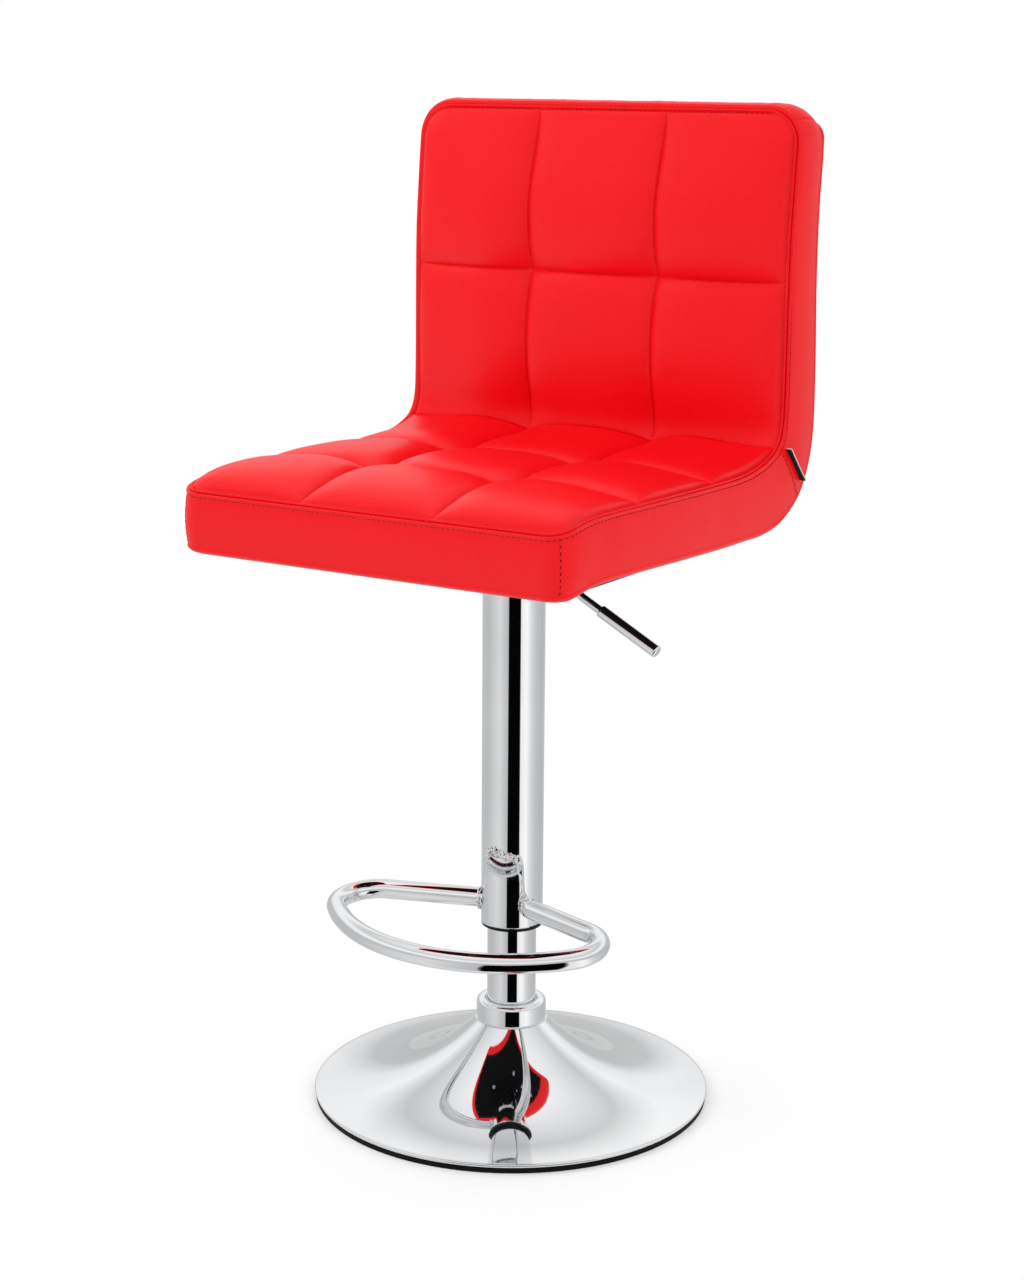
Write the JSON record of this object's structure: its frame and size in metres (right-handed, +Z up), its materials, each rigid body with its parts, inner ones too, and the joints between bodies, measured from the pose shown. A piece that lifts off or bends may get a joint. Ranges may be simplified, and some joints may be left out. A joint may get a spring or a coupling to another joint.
{
  "type": "adjustable swivel stool",
  "caption": "Counter-height swivel stool with a gas-lift column, a padded quilted seat and back in red artificial leather, a D-shaped footrest and a round trumpet base.",
  "frame": {"origin": "column axis at the floor, on the underside of the floor ring", "axes": "+Z up along the column; the seat faces -Y; +X is the side of the height lever"},
  "size_m": [0.424, 0.4633, 0.952],
  "materials": {
    "floor_rubber": "matte, moulded",
    "chrome": "polished, plated",
    "ballast_iron": "rough, black primer",
    "mild_steel": "plain machined",
    "bright_steel": "ground",
    "zinc_plated": "zinc plated",
    "cage_brass": "stamped",
    "natural_acetal": "natural, moulded",
    "black_rubber": "matte",
    "black_paint": "satin powder coat",
    "black_plastic": "moulded",
    "lever_grip_chrome": "polished, plated",
    "birch_ply": "raw, sanded",
    "foam": "open-cell foam",
    "red_leather": "smooth semi-gloss artificial leather with a fine grain",
    "dust_cloth": "non-woven",
    "tag_fabric": "woven label, blank"
  },
  "bodies": {
    "base": {"floor_ring": "floor_rubber", "base_disc": "chrome", "ballast_plate": "ballast_iron", "base_hub": "mild_steel", "base_collar": "chrome", "standpipe": "chrome", "pipe_end_plate": "mild_steel", "lower_race": "bright_steel", "guide_bush": "natural_acetal"},
    "rod": {"piston_rod": "bright_steel", "retaining_clip": "mild_steel", "upper_race": "bright_steel", "rod_spacer": "mild_steel", "bump_stop": "black_rubber", "piston": "mild_steel", "piston_seal": "black_rubber", "piston_nut": "zinc_plated"},
    "bearing_cage": {"ball_cage": "cage_brass", "bearing_balls": "bright_steel"},
    "carriage": {"gas_cylinder": "black_paint", "rod_guide": "mild_steel", "rod_seal": "black_rubber", "valve_body": "mild_steel", "sleeve": "chrome", "sleeve_glide_ring": "black_plastic", "sleeve_top_bush": "black_plastic", "footrest_saddle": "chrome", "footrest_loop": "chrome", "plate_hub": "mild_steel", "seat_plate": "black_paint", "lever_bracket": "mild_steel", "lever_pin": "bright_steel", "plate_bolts": "zinc_plated", "bolt_washers": "zinc_plated", "tee_nuts": "zinc_plated", "ply_shell": "birch_ply", "seat_foam": "foam", "back_foam": "foam", "seat_cover": "red_leather", "back_cover": "red_leather", "left_seat_band": "red_leather", "left_back_band": "red_leather", "right_seat_band": "red_leather", "right_back_band": "red_leather", "front_band": "red_leather", "top_band": "red_leather", "rear_cover": "red_leather", "cover_hem": "red_leather", "underside_cover": "dust_cloth", "cover_staples": "zinc_plated", "seam_tag": "tag_fabric"},
    "lever": {"lever_rod": "chrome", "lever_grip": "lever_grip_chrome"},
    "valve_pin": {"release_pin": "bright_steel"}
  },
  "joints": [
    {"name": "swivel", "type": "hinge", "parent": "base", "child": "rod", "pos_m": [0, 0, 0.0246], "axis": [0, 0, 1], "continuous": true},
    {"name": "cage_roll", "type": "hinge", "parent": "base", "child": "bearing_cage", "pos_m": [0, 0, 0.0246], "axis": [0, 0, 1], "continuous": true},
    {"name": "height", "type": "slide", "parent": "rod", "child": "carriage", "axis": [0, 0, 1], "range_m": [-0.06, 0.155]},
    {"name": "lever_lift", "type": "hinge", "parent": "carriage", "child": "lever", "pos_m": [0.024, 0, 0.55], "axis": [0, -1, 0], "range_deg": [0, 7], "stiffness_Nm_per_rad": 2, "springref_deg": -20.05},
    {"name": "valve_press", "type": "slide", "parent": "carriage", "child": "valve_pin", "axis": [0, 0, -1], "range_m": [0, 0.003]}
  ],
  "couplings": [
    {"joint": "cage_roll", "follows": "swivel", "ratio": 0.5},
    {"joint": "valve_press", "follows": "lever_lift", "m_per_rad": 0.024}
  ]
}
